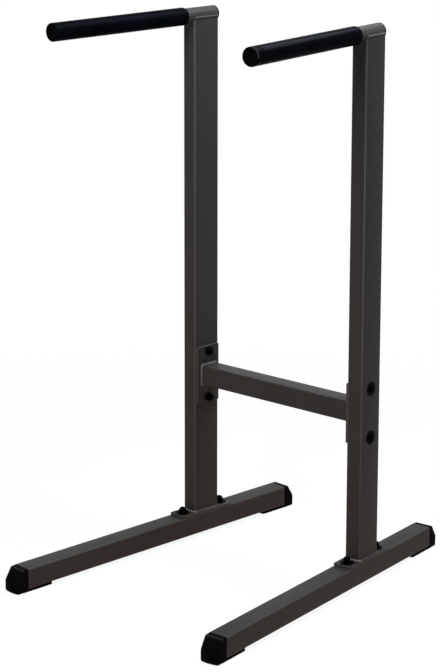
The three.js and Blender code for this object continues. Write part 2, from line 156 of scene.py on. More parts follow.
def choose(piece, kind, test):
    """Selects the edited piece's vertices, edges or faces for which test(element) holds."""
    bpy.ops.mesh.select_mode(type=kind)
    bpy.ops.mesh.select_all(action="DESELECT")
    mesh = bmesh.from_edit_mesh(piece.data)
    mesh.normal_update()
    elements = {"VERT": mesh.verts, "EDGE": mesh.edges, "FACE": mesh.faces}[kind]
    for element in elements:
        if test(element):
            element.select_set(True)
    mesh.select_flush_mode()
    bmesh.update_edit_mesh(piece.data)


def along(axis):
    """A test for edges that run along an axis."""
    def test(edge):
        run = (edge.verts[1].co - edge.verts[0].co).normalized()
        return abs(run[axis]) > 0.999
    return test


def facing(axis, sign=0):
    """A test for faces that face along an axis, one way or both."""
    def test(face):
        return face.normal[axis] * sign > 0.9 if sign else abs(face.normal[axis]) > 0.9
    return test


def block(name, low, high):
    size = [b - a for a, b in zip(low, high)]
    middle = [(a + b) / 2 for a, b in zip(low, high)]
    bpy.ops.mesh.primitive_cube_add(size=1, location=middle, scale=size)
    piece = bpy.context.object
    piece.name = name
    bpy.ops.object.transform_apply(location=True, rotation=True, scale=True)
    return piece


def rod(name, radius, length, place, turn=(0, 0, 0), sides=64, fill="NGON"):
    bpy.ops.mesh.primitive_cylinder_add(
        vertices=sides, radius=radius, depth=length, location=place, rotation=turn, end_fill_type=fill
    )
    piece = bpy.context.object
    piece.name = name
    bpy.ops.object.transform_apply(location=True, rotation=True, scale=True)
    return piece


def drawn(name, points, close=False):
    """An edge line through the points: a plane merged to one vertex and extruded from point to point."""
    bpy.ops.mesh.primitive_plane_add(size=0.001, location=points[0])
    piece = bpy.context.object
    piece.name = name
    bpy.ops.object.transform_apply(location=True, rotation=True, scale=True)
    with editing(piece):
        bpy.ops.mesh.select_mode(type="VERT")
        select_all()
        bpy.ops.mesh.merge(type="CENTER")
        for start, end in zip(points, points[1:]):
            step = Vector(end) - Vector(start)
            bpy.ops.mesh.extrude_vertices_move(TRANSFORM_OT_translate={"value": step})
        if close:
            select_all()
            bpy.ops.mesh.edge_face_add()
    return piece


def turned(name, profile, steps=48):
    """A piece turned about the Z axis from a profile of (radius, height) points."""
    piece = drawn(name, [(radius, 0, height) for radius, height in profile])
    with editing(piece):
        select_all()
        bpy.ops.mesh.spin(steps=steps, angle=2 * math.pi, center=(0, 0, 0), axis=(0, 0, 1))
        select_all()
        bpy.ops.mesh.remove_doubles(threshold=0.000002)
        bpy.ops.mesh.normals_make_consistent(inside=False)
    return piece


def arc(u, v, radius, start, end, steps):
    """Points of an arc, with its angles in degrees."""
    angles = [math.radians(start + (end - start) * i / steps) for i in range(steps + 1)]
    return [(u + radius * math.cos(a), v + radius * math.sin(a)) for a in angles]


def quarter_steps(steps):
    """Angles that share a quarter turn evenly, from the first step to its end."""
    return [math.pi / 2 * step / steps for step in range(1, steps + 1)]


def use(piece, kind, **settings):
    """Adds a modifier, sets it and applies it."""
    pick(piece)
    bpy.ops.object.modifier_add(type=kind)
    modifier = piece.modifiers[-1]
    for key, value in settings.items():
        setattr(modifier, key, value)
    bpy.ops.object.modifier_apply(modifier=modifier.name)


def carve(piece, how, *tools):
    """Joins, cuts or intersects the piece with each tool, which is then thrown away."""
    for tool in tools:
        use(piece, "BOOLEAN", operation=how, object=tool, solver="EXACT")
        bpy.data.objects.remove(tool)


def merge_slivers(piece):
    """Merges the hair-thin faces that a cut leaves where two round surfaces nearly touch."""
    with editing(piece):
        select_all()
        bpy.ops.mesh.dissolve_degenerate(threshold=0.00002)


def soften(piece, width, segments=2, angle=30):
    limit = math.radians(angle)
    use(piece, "BEVEL", width=width, segments=segments, limit_method="ANGLE", angle_limit=limit)


def round_corners(piece, axis, radius, segments):
    """Rounds the edges of the edited piece that run along an axis."""
    choose(piece, "EDGE", along(axis))
    bpy.ops.mesh.bevel(offset=radius, segments=segments, affect="EDGES")


def smooth(piece, angle=32):
    pick(piece)
    bpy.ops.object.shade_smooth_by_angle(angle=math.radians(angle))


def turn_to(piece, matrix):
    pick(piece)
    piece.matrix_world = matrix
    bpy.ops.object.transform_apply(location=True, rotation=True, scale=True)


def copy_of(piece, name, matrix):
    """A copy with its own mesh, moved by the matrix. A mirrored one gets its normals recalculated."""
    pick(piece)
    bpy.ops.object.duplicate()
    copy = bpy.context.object
    copy.name = name
    turn_to(copy, matrix)
    if matrix.determinant() < 0:
        with editing(copy):
            select_all()
            bpy.ops.mesh.normals_make_consistent(inside=False)
    return copy


# Painted highlights: how much lighter the finish is painted at each point of a piece
def paint_highlights(piece, share):
    """Keeps share(place) for the finish, which shows 0 as plain and 1 as a full painted highlight."""
    marks = piece.data.attributes.new("edge", "FLOAT", "POINT")
    for vertex in piece.data.vertices:
        marks.data[vertex.index].value = share(vertex.co)


def ramp(value, start, end, least=0.0):
    """How far a value is from start to end, kept between least and 1."""
    return min(max((value - start) / (end - start), least), 1.0)


def on_corner(u, v, half_u, half_v):
    """How far a point of a tube lies round its outer corner: 1 in the middle, 0 on the flats and inside."""
    inside = 0.8 * TUBE_CORNER
    reach_u, reach_v = abs(u) - half_u + TUBE_CORNER, abs(v) - half_v + TUBE_CORNER
    reach = math.hypot(reach_u, reach_v)
    if min(reach_u, reach_v) <= 0 or reach < inside:
        return 0.0
    return math.sqrt(2 * reach_u * reach_v) / reach


def on_rim(u, v, half_u, half_v):
    """1 on the outer edge of a plate, falling to 0 half a millimetre inside it."""
    width = 0.0005
    return max(0.0, 1 - min(half_u - abs(u), half_v - abs(v)) / width)


def corner_highlight_share(place):
    """A painted highlight: how light an upright's corner is painted. It grows with height: at the outer
    front from low down, elsewhere only near the top."""
    outer_front, elsewhere, gain_at_top = 0.61, 0.20, 0.25
    if place.x > 0 and place.y < 0:
        return outer_front * ramp(place.z, 0.58, 1.08, least=0.2)
    return elsewhere + gain_at_top * ramp(place.z, 1.22, 1.32)


def nose_highlight_share(place):
    """How much painted highlight the grip's nose gets: on its rim, at the outer side, from the middle up.
    """
    rim_length, start, rise_by, end, fall_by = 0.0012, -0.003, 0.004, 0.032, 0.028
    if place.y > GRIP_FRONT + rim_length or place.x < 0:
        return 0.0
    height = place.z - HANDLE_Z
    return max(0.0, min((height - start) / rise_by, (end - height) / fall_by))


def brow_highlight_share(place):
    """How much painted highlight a foot cap's brow gets, where its face meets its roof."""
    brow, reach = (-0.0140, FOOT_TOP - 0.0010), 0.0042
    return max(0.0, 1 - math.dist((place.y, place.z), brow) / reach)


# Finishes
class Nodes:
    """A node tree, laid out with short calls."""

    def __init__(self, tree):
        self.tree = tree

    def fill(self, socket, value):
        """Links the socket to another one, or sets its value."""
        if isinstance(value, bpy.types.NodeSocket):
            self.tree.links.new(value, socket)
        else:
            socket.default_value = value

    def node(self, kind, inputs=None, **settings):
        node = self.tree.nodes.new(kind)
        for key, value in settings.items():
            setattr(node, key, value)
        for key, value in (inputs or {}).items():
            self.fill(node.inputs[key], value)
        return node

    def product(self, first, second):
        return self.node("ShaderNodeMath", {0: first, 1: second}, operation="MULTIPLY").outputs[0]

    def greater(self, first, second):
        return self.node("ShaderNodeMath", {0: first, 1: second}, operation="MAXIMUM").outputs[0]

    def spread(self, value, low, high, start=0.3, end=0.7, **settings):
        """A value brought from one range, by default a noise's own, to another."""
        ranges = {"Value": value, "From Min": start, "From Max": end, "To Min": low, "To Max": high}
        return self.node("ShaderNodeMapRange", ranges, **settings).outputs[0]

    def blend(self, factor, first, second):
        """A mix of two colours."""
        inputs = {0: factor, 6: first, 7: second}
        return self.node("ShaderNodeMix", inputs, data_type="RGBA").outputs[2]

    def join(self, factor, first, second, end):
        """Mixes two shaders into an output node."""
        mix = self.node("ShaderNodeMixShader", {0: factor, 1: first.outputs[0], 2: second.outputs[0]})
        self.tree.links.new(mix.outputs[0], self.tree.nodes[end].inputs["Surface"])


class Finish(Nodes):
    """A material's nodes, laid out from object coordinates."""

    def __init__(self, name):
        self.material = bpy.data.materials.new(name)
        self.material.use_nodes = True
        super().__init__(self.material.node_tree)
        self.shader = self.tree.nodes["Principled BSDF"]
        self.place = self.node("ShaderNodeTexCoord").outputs["Object"]

    def noise(self, scale, detail=2.0, roughness=0.5, stretch=None):
        place = self.place
        if stretch:
            place = self.node("ShaderNodeMapping", {"Vector": place, "Scale": stretch}).outputs[0]
        inputs = {"Vector": place, "Scale": scale, "Detail": detail, "Roughness": roughness}
        return self.node("ShaderNodeTexNoise", inputs).outputs["Fac"]

    def cloud(self, scale, detail=2.0, roughness=0.5, stretch=None):
        """A noise that runs all the way from 0 to 1."""
        return self.spread(self.noise(scale, detail, roughness, stretch), 0.0, 1.0)

    def edge(self):
        """The share of painted highlight kept on the piece's points."""
        return self.node("ShaderNodeAttribute", attribute_name="edge").outputs["Fac"]

    def bump(self, *layers):
        """Bump layers of (height, strength, distance in metres), the last one on top."""
        normal = None
        for height, strength, distance in layers:
            inputs = {"Height": height, "Strength": strength, "Distance": distance}
            if normal:
                inputs["Normal"] = normal
            normal = self.node("ShaderNodeBump", inputs).outputs[0]
        self.tree.links.new(normal, self.shader.inputs["Normal"])

    def set(self, **values):
        for key, value in values.items():
            self.fill(self.shader.inputs[key.replace("_", " ")], value)


def powder_coat():
    """Dark gunmetal powder coat: a fine pebbled skin over a faint orange peel, a little cloudy in tone, and
    with painted highlights: a lighter colour painted on its edges and welds."""
    coat = Finish("gunmetal_powder_coat")
    dark, light = (0.0207, 0.0193, 0.0184, 1), (0.0253, 0.0237, 0.0227, 1)
    # the second colour here is the lighter tone of the painted highlights
    speck, painted_highlight_tone = (0.0328, 0.0306, 0.0294, 1), (0.1400, 0.1370, 0.1350, 1)
    tone = coat.blend(coat.cloud(5.0, 3.0), dark, light)
    tone = coat.blend(coat.cloud(1500.0, 1.0), tone, speck)
    # painted highlight on edges and welds, from the kept share, varied a little by a noise
    sheen_and_wear = coat.product(coat.edge(), coat.spread(coat.noise(90.0, 3.0), 0.75, 1.0))
    coat.set(
        Base_Color=coat.blend(sheen_and_wear, tone, painted_highlight_tone),
        Roughness=coat.spread(coat.noise(60.0, 3.0), 0.33, 0.43),
        Specular_IOR_Level=0.042,
    )
    peel, pebble = coat.noise(190.0, 1.0), coat.noise(1100.0, 2.0, 0.6)
    coat.bump((peel, 0.25, 0.0002), (pebble, 0.25, 0.00012))
    return coat.material


def grip_vinyl():
    """Black grip sleeve: smooth vinyl with a faint mould grain, and a painted highlight on the nose of the
    right one.
    """
    grip = Finish("black_grip_vinyl")
    dark, light = (0.0009, 0.0012, 0.0022, 1), (0.0018, 0.0022, 0.0036, 1)
    nose_highlight_tone = (0.0420, 0.0420, 0.0440, 1)
    tone = grip.blend(grip.cloud(14.0, 3.0), dark, light)
    across = grip.node("ShaderNodeSeparateXYZ", {0: grip.place}).outputs["X"]
    # painted highlight on the nose rim, kept to the grip on the right (X above 0)
    painted_nose_highlight = grip.product(grip.edge(), grip.spread(across, 0.0, 1.0, 0.0, 0.1))
    grip.set(
        Base_Color=grip.blend(painted_nose_highlight, tone, nose_highlight_tone),
        Roughness=grip.spread(grip.noise(35.0, 4.0), 0.18, 0.25),
        Specular_IOR_Level=0.003,
        Specular_Tint=(0.74, 0.76, 1.0, 1),
    )
    grip.bump((grip.noise(300.0, 1.0), 0.12, 0.0001), (grip.noise(1800.0, 2.0), 0.15, 0.00005))
    return grip.material


def cap_rubber():
    """Moulded black rubber of the foot end caps: fine spark grain, with a painted highlight along the brow.
    """
    rubber = Finish("moulded_cap_rubber")
    dark, light = (0.0015, 0.0015, 0.0016, 1), (0.0032, 0.0032, 0.0034, 1)
    brow_highlight_tone = (0.0185, 0.0185, 0.0198, 1)
    tone = rubber.blend(rubber.cloud(40.0, 4.0), dark, light)
    rubber.set(
        Base_Color=rubber.blend(rubber.edge(), tone, brow_highlight_tone),
        Roughness=rubber.spread(rubber.noise(120.0, 3.0), 0.40, 0.55),
        Specular_IOR_Level=0.005,
    )
    rubber.bump((rubber.noise(1300.0, 2.0), 0.35, 0.0001))
    return rubber.material


def plug_plastic():
    """Moulded black plastic of the handle plugs, with faint flow marks."""
    plastic = Finish("moulded_plug_plastic")
    dark, light = (0.0010, 0.0010, 0.0011, 1), (0.0022, 0.0022, 0.0024, 1)
    flow = plastic.cloud(90.0, 2.0, stretch=(1, 1, 6))
    plastic.set(
        Base_Color=plastic.blend(flow, dark, light),
        Roughness=plastic.spread(flow, 0.38, 0.50),
        Specular_IOR_Level=0.004,
    )
    plastic.bump((plastic.noise(1500.0, 2.0), 0.2, 0.00006))
    return plastic.material


def blackened_steel():
    """Black-coated bolts, nuts and washers, slightly rubbed."""
    steel = Finish("black_coated_steel")
    dark, light = (0.0012, 0.0011, 0.0012, 1), (0.0042, 0.0040, 0.0040, 1)
    sheen_and_wear = steel.spread(steel.noise(260.0, 4.0, 0.6), 0.0, 1.0, 0.55, 0.75)
    steel.set(
        Base_Color=steel.blend(sheen_and_wear, dark, light),
        Roughness=steel.spread(steel.noise(400.0, 3.0), 0.30, 0.45),
        Specular_IOR_Level=0.008,
    )
    steel.bump((steel.noise(900.0, 2.0), 0.2, 0.00008))
    return steel.material


# Tubes and plates
def square_tube(name, low, high, axis):
    """The skin of a square or rectangular tube with round corners and open ends."""
    tube = block(name, low, high)
    with editing(tube):
        round_corners(tube, axis, TUBE_CORNER, segments=8)
        choose(tube, "FACE", facing(axis))
        bpy.ops.mesh.delete(type="FACE")
    return tube


def wall_up(tube, wall):
    """Gives a tube's skin its wall, inwards."""
    use(tube, "SOLIDIFY", thickness=wall, offset=-1, use_even_offset=True)


def foot_tube():
    """A foot, drilled on top and punched square below for its two coach bolts."""
    half, drill_length, punch_half = FOOT_SIDE / 2, 0.02, 0.0054
    punch_low, punch_high = SOLE - 0.005, SOLE + 0.008
    tube = square_tube("foot", (-half, FOOT_FRONT, SOLE), (half, FOOT_REAR, FOOT_TOP), Y)
    wall_up(tube, FOOT_WALL)
    for _, y in BASE_BOLTS:
        drill = rod("drill", BOLT_HOLE, drill_length, (0, y, FOOT_TOP), sides=32)
        punch = block(
            "punch", (-punch_half, y - punch_half, punch_low), (punch_half, y + punch_half, punch_high)
        )
        carve(tube, "DIFFERENCE", drill, punch)
    # painted highlight along the foot's corners
    paint_highlights(tube, lambda co: EDGE_HIGHLIGHT * on_corner(co.x, co.z - SOLE - half, half, half))
    smooth(tube)
    return tube


def base_plate():
    half_x, half_y = PLATE[0] / 2, PLATE[1] / 2
    corner, drill_length, edge = 0.003, 0.03, 0.0006
    plate = block("plate", (-half_x, -half_y, FOOT_TOP), (half_x, half_y, PLATE_TOP))
    with editing(plate):
        round_corners(plate, Z, corner, segments=4)
    for _, y in BASE_BOLTS:
        carve(plate, "DIFFERENCE", rod("drill", BOLT_HOLE, drill_length, (0, y, FOOT_TOP), sides=32))
    soften(plate, edge)
    # painted highlight on the plate's rim
    paint_highlights(plate, lambda co: EDGE_HIGHLIGHT * on_rim(co.x, co.y, half_x, half_y))
    smooth(plate)
    return plate


def cross_drills(x, length):
    """Drills along X through the two flange bolts' places, the lower one first."""
    return [
        rod("drill", BOLT_HOLE, length, (x, 0, BAR_Z + rise), ALONG_X, sides=32)
        for _, rise in reversed(FLANGE_BOLTS)
    ]


def upright_tube():
    """An upright with its fish-mouth top, cut by the handle's own round."""
    half_x, half_y = UPRIGHT[0] / 2, UPRIGHT[1] / 2
    saddle_length, drill_length = 0.2, 0.1
    tube = square_tube("upright", (-half_x, -half_y, PLATE_TOP), (half_x, half_y, WALL_TOP), Z)
    wall_up(tube, UPRIGHT_WALL)
    saddle = rod("saddle", HANDLE_R + SEAT, saddle_length, (0, 0, HANDLE_Z), ALONG_Y, sides=96)
    carve(tube, "DIFFERENCE", saddle, *cross_drills(0, drill_length))
    # painted highlight along the upright's corners
    paint_highlights(tube, lambda co: corner_highlight_share(co) * on_corner(co.x, co.y, half_x, half_y))
    smooth(tube)
    return tube


def mitre_x(y):
    """Where the crossbar's right end meets the flange, at a depth y from the frame's centre line."""
    return SPACING / 2 - (y * math.sin(SPLAY) - FLANGE_FACE) / math.cos(SPLAY)


def crossbar():
    """The tube, drawn long, cut at its two mitres and then given its wall."""
    half, drawn_to = BAR_SIDE / 2, 0.27
    tube = square_tube("crossbar_body", (-drawn_to, -half, BAR_Z - half), (drawn_to, half, BAR_Z + half), X)
    with editing(tube):
        for _, sign in SIDES:
            select_all()
            bpy.ops.mesh.bisect(
                plane_co=(sign * mitre_x(0), 0, 0),
                plane_no=(sign * math.cos(SPLAY), math.sin(SPLAY), 0),
                clear_outer=True,
            )
    wall_up(tube, BAR_WALL)
    turn_to(tube, Matrix.Translation((0, FRAME_Y, 0)))
    smooth(tube)
    return tube


def crossbar_flange():
    half = [side / 2 for side in FLANGE]
    corner, drill_length, edge = 0.004, 0.05, 0.0006
    plate = block(
        "flange",
        (FLANGE_X - half[0], -half[1], BAR_Z - half[2]),
        (FLANGE_X + half[0], half[1], BAR_Z + half[2]),
    )
    with editing(plate):
        round_corners(plate, X, corner, segments=6)
    carve(plate, "DIFFERENCE", *cross_drills(FLANGE_X, drill_length))
    soften(plate, edge)
    # painted highlight on the flange's rim
    paint_highlights(plate, lambda co: EDGE_HIGHLIGHT * on_rim(co.y, co.z - BAR_Z, half[1], half[2]))
    smooth(plate)
    return plate


# Welds
def rounded_path(half_u, half_v, corner):
    """Evenly spaced points of a rectangle with round corners."""
    spacing, corner_steps = 0.0004, 16
    corners = []
    for index, (side_u, side_v) in enumerate(((1, -1), (1, 1), (-1, 1), (-1, -1))):
        centre_u, centre_v = side_u * (half_u - corner), side_v * (half_v - corner)
        corners += arc(centre_u, centre_v, corner, -90 + 90 * index, 90 * index, corner_steps)
    path = []
    for start, end in zip(corners, corners[1:] + corners[:1]):
        count = max(1, round(math.dist(start, end) / spacing))
        for step in range(count):
            path.append(tuple(a + (b - a) * (step / count) for a, b in zip(start, end)))
    return path


def weld_bead(name, points, radius, painted_shine):
    """A weld bead along a closed path: a round strip that swells and thins with each ripple, and by chance
    over longer runs. The last argument gives the share of its painted highlight at each point."""
    least, ripple, wander, calm = 0.94, 0.10, 0.10, 0.9
    curve = bpy.data.curves.new(name, "CURVE")
    curve.dimensions = "3D"
    curve.bevel_depth = radius
    curve.bevel_resolution = 3
    spline = curve.splines.new("POLY")
    spline.points.add(len(points) - 1)
    spline.use_cyclic_u = True
    run = sway = 0.0
    for index, point in enumerate(points):
        spline.points[index].co = (*point, 1)
        phase = (run / WELD_PITCH) % 1.0
        sway = calm * sway + (1 - calm) * CHANCE.uniform(-1, 1)
        spline.points[index].radius = least + ripple * (1 - phase) ** 2 + wander * sway
        run += (Vector(points[(index + 1) % len(points)]) - Vector(point)).length
    bead = bpy.data.objects.new(name, curve)
    bpy.context.scene.collection.objects.link(bead)
    pick(bead)
    bpy.ops.object.convert(target="MESH")
    bead = bpy.context.object
    bead.name = name
    # the bead's painted highlight share
    paint_highlights(bead, painted_shine)
    smooth(bead, angle=60)
    return bead


def base_weld():
    """The bead round the upright's foot, with a painted highlight, lightest along its front."""
    stand_off, rise, radius = 0.0008, 0.0006, 0.0027
    front, front_shine, side_shine = 0.004 - UPRIGHT[1] / 2, 1.0, 0.28
    path = rounded_path(UPRIGHT[0] / 2 + stand_off, UPRIGHT[1] / 2 + stand_off, TUBE_CORNER + stand_off)
    points = [(x, y, PLATE_TOP + rise) for x, y in path]
    return weld_bead("base_weld", points, radius, lambda co: front_shine if co.y < front else side_shine)


def saddle_weld():
    """The bead between the upright's fish-mouth top and the handle, with a painted highlight, lighter on
    its long sides.
    """
    inset, stand_off, radius, rear_limit = 0.0004, 0.0006, 0.0026, 0.0372
    side_end, end_shine, neighbours = 0.034, 0.06, 4
    reach = HANDLE_R + stand_off
    points = []
    for x, y in rounded_path(UPRIGHT[0] / 2 - inset, UPRIGHT[1] / 2 - inset, TUBE_CORNER):
        drop = math.sqrt(max(0.0, reach ** 2 - x ** 2))
        points.append((x, min(y, rear_limit), min(HANDLE_Z - drop, WALL_TOP)))
    # the drop is steep at the corners, so it is eased over a few points
    eased = []
    for index in range(len(points)):
        span = [points[(index + k) % len(points)] for k in range(-neighbours, neighbours + 1)]
        eased.append(tuple(sum(p[axis] for p in span) / len(span) for axis in range(3)))
    return weld_bead("saddle_weld", eased, radius, lambda co: EDGE_HIGHLIGHT if abs(co.y) < side_end else end_shine)


def crossbar_weld():
    """The bead round the crossbar's mitred right end, in the flange's plane, evenly lightened by a painted
    highlight.
    """
    stand_off, back, radius, painted_shine = 0.0008, 0.0010, 0.0036, 0.55
    half = BAR_SIDE / 2 + stand_off
    path = rounded_path(half, half, TUBE_CORNER + stand_off)
    points = [(mitre_x(y) - back, y, BAR_Z + rise) for y, rise in path]
    return weld_bead("crossbar_weld", points, radius, lambda co: painted_shine)


# Handles
def handle_tube():
    middle, length, edge = (HANDLE_FRONT + HANDLE_REAR) / 2, HANDLE_REAR - HANDLE_FRONT, 0.0004
    tube = rod("handle", HANDLE_R, length, (0, middle, HANDLE_Z), ALONG_Y, sides=96, fill="NOTHING")
    wall_up(tube, HANDLE_WALL)
    soften(tube, edge, angle=60)
    smooth(tube)
    return tube


def on_handle(y, quarter):
    """A turned piece's place on the handle at y, its height towards +Y for a quarter of -1, or -Y for 1."""
    return Matrix.Translation((0, y, HANDLE_Z)) @ Matrix.Rotation(quarter * math.pi / 2, 4, "X")


def grip():
    """The sleeve: a round nose, three fine rings behind it and a long round-shouldered tail."""
    bore, lip, nose = HANDLE_R + SEAT, 0.0006, 0.0018
    first_ring, ring_pitch = 0.012, 0.005
    groove_depths = ((-0.0011, 0), (-0.0008, 0.0001), (-0.0003, 0.0004))
    body_start, body_step = 0.030, 0.015
    shoulder, fall = 0.0075, 0.0022
    profile = [(bore, GRIP_FRONT + lip), (bore + lip, GRIP_FRONT)]
    profile += arc(GRIP_R - nose, GRIP_FRONT + nose, nose, -90, 0, 7)
    for ring in range(3):
        middle = GRIP_FRONT + first_ring + ring_pitch * ring
        profile += [(GRIP_R - depth, middle + offset) for offset, depth in groove_depths]
        profile += [(GRIP_R - depth, middle - offset) for offset, depth in reversed(groove_depths)]
    profile += [(GRIP_R, GRIP_FRONT + body_start + body_step * step) for step in range(25)]
    for angle in quarter_steps(10):
        profile.append((
            GRIP_R - fall * (1 - math.cos(angle)),
            GRIP_REAR - shoulder * (1 - math.sin(angle)),
        ))
    profile += [(bore, GRIP_REAR), profile[0]]
    sleeve = turned("grip", profile, steps=96)
    turn_to(sleeve, on_handle(0, -1))
    # painted highlight on the nose rim
    paint_highlights(sleeve, nose_highlight_share)
    smooth(sleeve, angle=40)
    return sleeve


def handle_plug():
    """A plug with a rounded flange round a shallow dish, and a finned hollow stem behind it."""
    edge, round_off = HANDLE_R - 0.0002, 0.0013
    fin = HANDLE_R - HANDLE_WALL - SEAT
    core, wall, length = fin - 0.0012, 0.0022, 0.0262
    first_fin, fin_pitch = 0.0085, 0.0058
    profile = [(0, 0.0016), (0.0060, 0.0015), (0.0105, 0.0011), (0.0125, 0.0005), (0.0136, 0.0001)]
    profile += arc(edge - round_off, round_off, round_off, -90, 0, 5)
    profile += [(edge, PLUG_FLANGE), (core, PLUG_FLANGE)]
    for rib in range(3):
        start = first_fin + fin_pitch * rib
        profile += [(core, start), (fin, start + 0.0008), (fin, start + 0.0016), (core, start + 0.0030)]
    profile += [(core, length), (core - wall, length), (core - wall, PLUG_FLANGE), (0, PLUG_FLANGE)]
    plug = turned("plug", profile, steps=64)
    smooth(plug, angle=35)
    return plug


# Foot caps
def cap_head():
    """The bowed, bevelled head of a foot cap facing -Y, its seam at y = 0."""
    reach, face_top, roof_front = 0.036, 0.0280, -0.0145
    bow, half, round_off = 0.004, FOOT_SIDE / 2, 0.0048
    outline = [(0, 0), (-reach, 0), (-reach, face_top), (roof_front, FOOT_TOP), (0, FOOT_TOP)]
    head = drawn("cap", [(-half, y, z) for y, z in outline], close=True)

    def outer_edge(edge):
        on_seam = all(abs(v.co.y) < 1e-6 for v in edge.verts)
        return not on_seam and edge.calc_face_angle(0) > math.radians(20)

    with editing(head):
        select_all()
        bpy.ops.mesh.extrude_region_move(TRANSFORM_OT_translate={"value": (2 * half, 0, 0)})
        cuts = [half * step / 5 for step in range(-4, 5)]
        for x in cuts:
            select_all()
            bpy.ops.mesh.bisect(plane_co=(x, 0, 0), plane_no=(1, 0, 0), use_fill=False)
        for x in [-half, *cuts, half]:
            choose(head, "VERT", lambda v, x=x: abs(v.co.x - x) < 1e-5 and v.co.y < -0.030)
            bpy.ops.transform.translate(value=(0, bow * (x / half) ** 2, 0))
        select_all()
        bpy.ops.mesh.normals_make_consistent(inside=False)
        choose(head, "EDGE", outer_edge)
        bpy.ops.mesh.bevel(offset=round_off, segments=6, affect="EDGES", clamp_overlap=True)
        choose(head, "FACE", lambda f: f.normal.y > 0.99 and abs(f.calc_center_median().y) < 1e-5)
        bpy.ops.mesh.dissolve_faces()
    return head


def cap_stem():
    """The plug that fits in the tube, hollowed from behind."""
    centre_z, half = SOLE + FOOT_SIDE / 2, FOOT_SIDE / 2 - FOOT_WALL - SEAT
    root, length, corner, wall, hollow = -0.004, 0.025, 0.002, 0.003, 0.026
    stem = block("stem", (-half, root, centre_z - half), (half, length, centre_z + half))
    with editing(stem):
        round_corners(stem, Y, corner, segments=3)
        choose(stem, "FACE", facing(Y, 1))
        bpy.ops.mesh.inset(thickness=wall)
        bpy.ops.mesh.extrude_region_move(TRANSFORM_OT_translate={"value": (0, -hollow, 0)})
    return stem


def cap_sole():
    """The sole that runs back under the tube, round at its two rear corners."""
    half, root, length, corner, edge = FOOT_SIDE / 2 - 0.002, -0.013, 0.0765, 0.006, 0.0008
    sole = block("sole", (-half, root, 0), (half, length, SOLE))
    with editing(sole):
        choose(sole, "EDGE", lambda e: along(Z)(e) and e.verts[0].co.y > 0)
        bpy.ops.mesh.bevel(offset=corner, segments=6, affect="EDGES")
    soften(sole, edge, segments=3)
    return sole


def foot_cap():
    """A moulded foot end cap: head, sole and stem in one, with six grooves across the sole."""
    cap = cap_head()
    carve(cap, "UNION", cap_sole(), cap_stem())
    last_groove, pitch = 0.0645, 0.012
    half_width, half_length, depth, below = 0.0015, 0.03, 0.0012, 0.003
    for index in range(6):
        y = last_groove - pitch * index
        low, high = (-half_length, y - half_width, -below), (half_length, y + half_width, depth)
        carve(cap, "DIFFERENCE", block("groove", low, high))
    # painted highlight along the brow
    paint_highlights(cap, brow_highlight_share)
    smooth(cap, angle=28)
    return cap


# Fasteners
def washer(name, radius, thickness):
    """A punched washer, rounder on its upper side."""
    edge = 0.0004
    profile = [(BOLT_HOLE, edge), (BOLT_HOLE + edge, 0), (radius - edge, 0), (radius, edge)]
    profile += [(radius, thickness - 2 * edge), (radius - edge / 2, thickness - edge / 2)]
    profile += [(radius - 2 * edge, thickness), (BOLT_HOLE + edge, thickness)]
    profile += [(BOLT_HOLE, thickness - edge), profile[0]]
    ring = turned(name, profile, steps=64)
    smooth(ring, angle=40)
    return ring


def hexagon(name, both_ends=True):
    """A 17 mm nut's hexagon, its corners turned off above and, if both ends show, below."""
    across, flat, edge, spare = 0.017, 0.0083, 0.00025, 0.004
    corner = across / math.sqrt(3)
    outside = corner + 0.0001
    fall = (corner - flat) * math.tan(math.radians(30))
    prism = rod(name, corner, NUT_HEIGHT + spare, (0, 0, NUT_HEIGHT / 2), sides=6)
    soften(prism, edge, angle=25)
    profile = [(0, 0)]
    profile += [(flat, 0), (outside, fall)] if both_ends else [(outside, 0)]
    profile += [(outside, NUT_HEIGHT - fall), (flat, NUT_HEIGHT), (0, NUT_HEIGHT)]
    carve(prism, "INTERSECT", turned("cone", profile, steps=96))
    return prism


def threaded(length, plain):
    """The profile of an M10 shank from z = 0 up, plain at first and then with a 1.5 mm thread."""
    pitch, root, tip = 0.0015, 0.0042, 0.001
    turn = ((BOLT_R, 0.0002), (root, 0.00065), (root, 0.00085), (BOLT_R, 0.0013))
    profile = [(BOLT_R, 0), (BOLT_R, plain)]
    for index in range(int((length - plain - tip) / pitch)):
        profile += [(radius, plain + pitch * index + rise) for radius, rise in turn]
    return profile + [(BOLT_R, length - tip), (BOLT_R - tip, length), (0, length)]


def domed(radius, height, steps):
    """The profile of a low dome, from its crown below z = 0 out to its rim at z = 0."""
    angles = [0, *quarter_steps(steps)]
    points = [(radius * math.sin(a), -height * math.cos(a)) for a in angles]
    return points[:-1] + [(radius, 0)]


def button_bolt(length):
    """A button-head bolt with a 6 mm hexagon socket."""
    radius, height, thread = 0.009, 0.0055, 0.020
    socket, socket_depth = 0.006, 0.003
    profile = domed(radius, height, steps=12) + threaded(length, plain=length - thread)
    bolt = turned("button_bolt", profile)
    key = rod("key", socket / math.sqrt(3), 2 * socket_depth, (0, 0, -height), sides=6)
    carve(bolt, "DIFFERENCE", key)
    merge_slivers(bolt)
    smooth(bolt, angle=30)
    return bolt


def coach_bolt(length):
    """A coach bolt with a low dome and a square neck."""
    radius, height, thread = 0.012, 0.0044, 0.022
    neck = ((-BOLT_R, -BOLT_R, -0.0005), (BOLT_R, BOLT_R, 0.003))
    profile = domed(radius, height, steps=10) + threaded(length, plain=length - thread)
    bolt = turned("coach_bolt", profile, steps=40)
    carve(bolt, "UNION", block("neck", *neck))
    merge_slivers(bolt)
    smooth(bolt, angle=30)
    return bolt


def bored(nut, depth):
    """Bores a nut from below and finishes it."""
    carve(nut, "DIFFERENCE", rod("bore", NUT_BORE, 2 * depth, (0, 0, 0), sides=40))
    merge_slivers(nut)
    smooth(nut, angle=30)
    return nut


